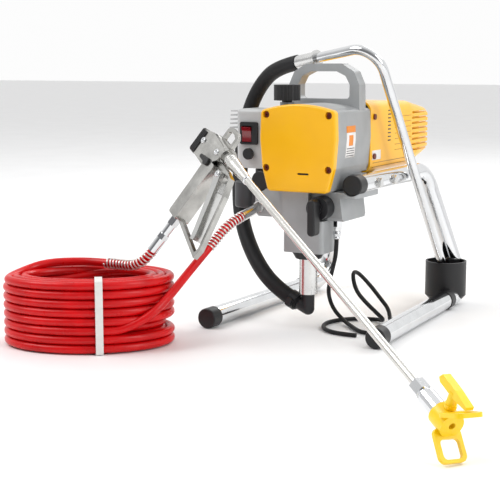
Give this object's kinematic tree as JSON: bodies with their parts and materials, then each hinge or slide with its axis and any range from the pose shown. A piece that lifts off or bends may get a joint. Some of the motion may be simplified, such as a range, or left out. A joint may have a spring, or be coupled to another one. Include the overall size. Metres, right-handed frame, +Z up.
{
  "type": "airless paint sprayer",
  "caption": "Airless paint sprayer on a bent-tube stand: geared piston pump, control box, suction set with drip cup, coiled high-pressure hose, pole gun with a swivelling tip.",
  "frame": {"origin": "on the floor, on the centre plane between the two side frames, below the joint between the gear housing and the motor shroud", "axes": "+Z up, +Y from the front cover to the motor end, +X to the side of the suction tube and drip cup"},
  "size_m": [0.8144, 0.877, 0.4409],
  "materials": {
    "tube_steel": "polished chromed tube",
    "black_plastic": "moulded, fine texture",
    "grey_casting": "grey powder coat on a casting",
    "yellow_paint": "yellow moulded plastic",
    "yellow_guard": "yellow moulded plastic",
    "dark_screw": "dark oxide screws",
    "steel": "machined",
    "bolt_steel": "zinc plated",
    "chrome_fitting": "polished",
    "black_metal": "black oxide",
    "dark_manifold": "dark grey coat",
    "copper": "enamelled wire",
    "lamination": "stacked sheet",
    "aluminium": "machined",
    "packing": "packing rings",
    "filter_mesh": "woven wire",
    "light_box": "light grey moulded plastic",
    "red_rocker": "translucent red",
    "board_green": "circuit board",
    "black_rubber": "smooth rubber hose",
    "gun_metal": "off-white gun body",
    "trigger_metal": "plated trigger",
    "pole_metal": "polished pole",
    "red_hose": "red high-pressure hose",
    "spring_guard": "spring guard over a red hose",
    "tie_white": "white tie band",
    "drip_cup_black": "black moulded plastic"
  },
  "bodies": {
    "base": {"side_frame_left": "tube_steel", "side_frame_right": "tube_steel", "tube_caps": "black_plastic", "saddle_casting": "grey_casting", "motor_cradle": "grey_casting", "frame_bolts": "bolt_steel", "gear_housing": "grey_casting", "front_cover": "yellow_paint", "housing_screws": "dark_screw", "motor_shroud": "yellow_paint", "motor_end_plate": "aluminium", "motor_stator": "lamination", "stator_windings": "copper", "shaft_bearings": "steel", "pump_block": "grey_casting", "packing_rings": "packing", "packing_nut": "black_metal", "pump_cylinder": "chrome_fitting", "foot_valve": "steel", "suction_elbow": "black_metal", "prime_valve_body": "black_metal", "drain_barb": "chrome_fitting", "filter_bowl": "dark_manifold", "filter_element": "filter_mesh", "outlet_fitting": "chrome_fitting", "control_box": "light_box", "switch_bezel": "black_plastic", "circuit_board": "board_green", "cord_gland": "black_plastic", "suction_tube": "chrome_fitting", "suction_cuff": "chrome_fitting", "inlet_strainer": "filter_mesh", "drip_cup": "drip_cup_black", "suction_hose": "black_rubber", "hose_clamp": "chrome_fitting", "return_hose": "black_rubber", "gun_body": "gun_metal", "gun_inlet": "chrome_fitting", "pole": "pole_metal", "tip_nut": "chrome_fitting", "tip_guard": "yellow_guard", "hose_lead_pump": "red_hose", "hose_lead_gun": "red_hose", "hose_ferrules": "chrome_fitting", "hose_springs": "spring_guard", "hose_coil": "red_hose", "coil_tie": "tie_white"},
    "rotor_body": {"rotor": "steel", "cooling_fan": "black_plastic"},
    "idler": {"intermediate_gear": "steel"},
    "crank": {"crank_gear": "steel"},
    "piston": {"piston_yoke": "steel", "piston_rod": "chrome_fitting"},
    "prime_lever": {"prime_valve_handle": "black_plastic"},
    "knob": {"pressure_knob": "black_plastic"},
    "rocker": {"switch_rocker": "red_rocker"},
    "button": {"reset_button": "black_plastic"},
    "trigger": {"gun_trigger": "trigger_metal"},
    "lock": {"trigger_lock": "black_plastic"},
    "tip_key": {"tip_handle": "yellow_guard"}
  },
  "joints": [
    {"name": "rotor_spin", "type": "hinge", "parent": "base", "child": "rotor_body", "pos_m": [0, 0.07, 0.296], "axis": [0, 1, 0], "continuous": true},
    {"name": "idler_spin", "type": "hinge", "parent": "base", "child": "idler", "pos_m": [-0.024, -0.056, 0.278], "axis": [0, 1, 0], "continuous": true},
    {"name": "crank_spin", "type": "hinge", "parent": "base", "child": "crank", "pos_m": [0, -0.074, 0.296], "axis": [0, 1, 0], "continuous": true},
    {"name": "piston_stroke", "type": "slide", "parent": "base", "child": "piston", "axis": [0, 0, 1], "range_m": [-0.008, 0.008]},
    {"name": "prime_valve_turn", "type": "hinge", "parent": "base", "child": "prime_lever", "pos_m": [0.0335, -0.14, 0.197], "axis": [0, -1, 0], "range_deg": [0, 90]},
    {"name": "pressure_knob_turn", "type": "hinge", "parent": "base", "child": "knob", "pos_m": [-0.041, -0.09, 0.36], "axis": [0, 0, 1], "range_deg": [0, 270]},
    {"name": "switch_rock", "type": "hinge", "parent": "base", "child": "rocker", "pos_m": [-0.103, -0.1025, 0.303], "axis": [-1, 0, 0], "range_deg": [0, 10]},
    {"name": "reset_press", "type": "slide", "parent": "base", "child": "button", "axis": [0, 1, 0], "range_m": [0, 0.003], "stiffness_N_per_m": 400},
    {"name": "trigger_pull", "type": "hinge", "parent": "base", "child": "trigger", "pos_m": [-0.05336, -0.26443, 0.25111], "axis": [0.3589, 0.811, -0.4619], "range_deg": [0, 9], "stiffness_Nm_per_rad": 2, "springref_deg": -5.73},
    {"name": "trigger_lock_turn", "type": "hinge", "parent": "base", "child": "lock", "pos_m": [-0.08873, -0.25411, 0.27207], "axis": [-0.3589, -0.811, 0.4619], "range_deg": [0, 60]},
    {"name": "tip_turn", "type": "hinge", "parent": "base", "child": "tip_key", "pos_m": [0.40735, -0.58661, 0.06268], "axis": [0.3445, -0.1755, 0.9222], "range_deg": [0, 180]}
  ],
  "couplings": [
    {"joint": "idler_spin", "follows": "rotor_spin", "ratio": -0.25},
    {"joint": "crank_spin", "follows": "rotor_spin", "ratio": 0.076087}
  ]
}
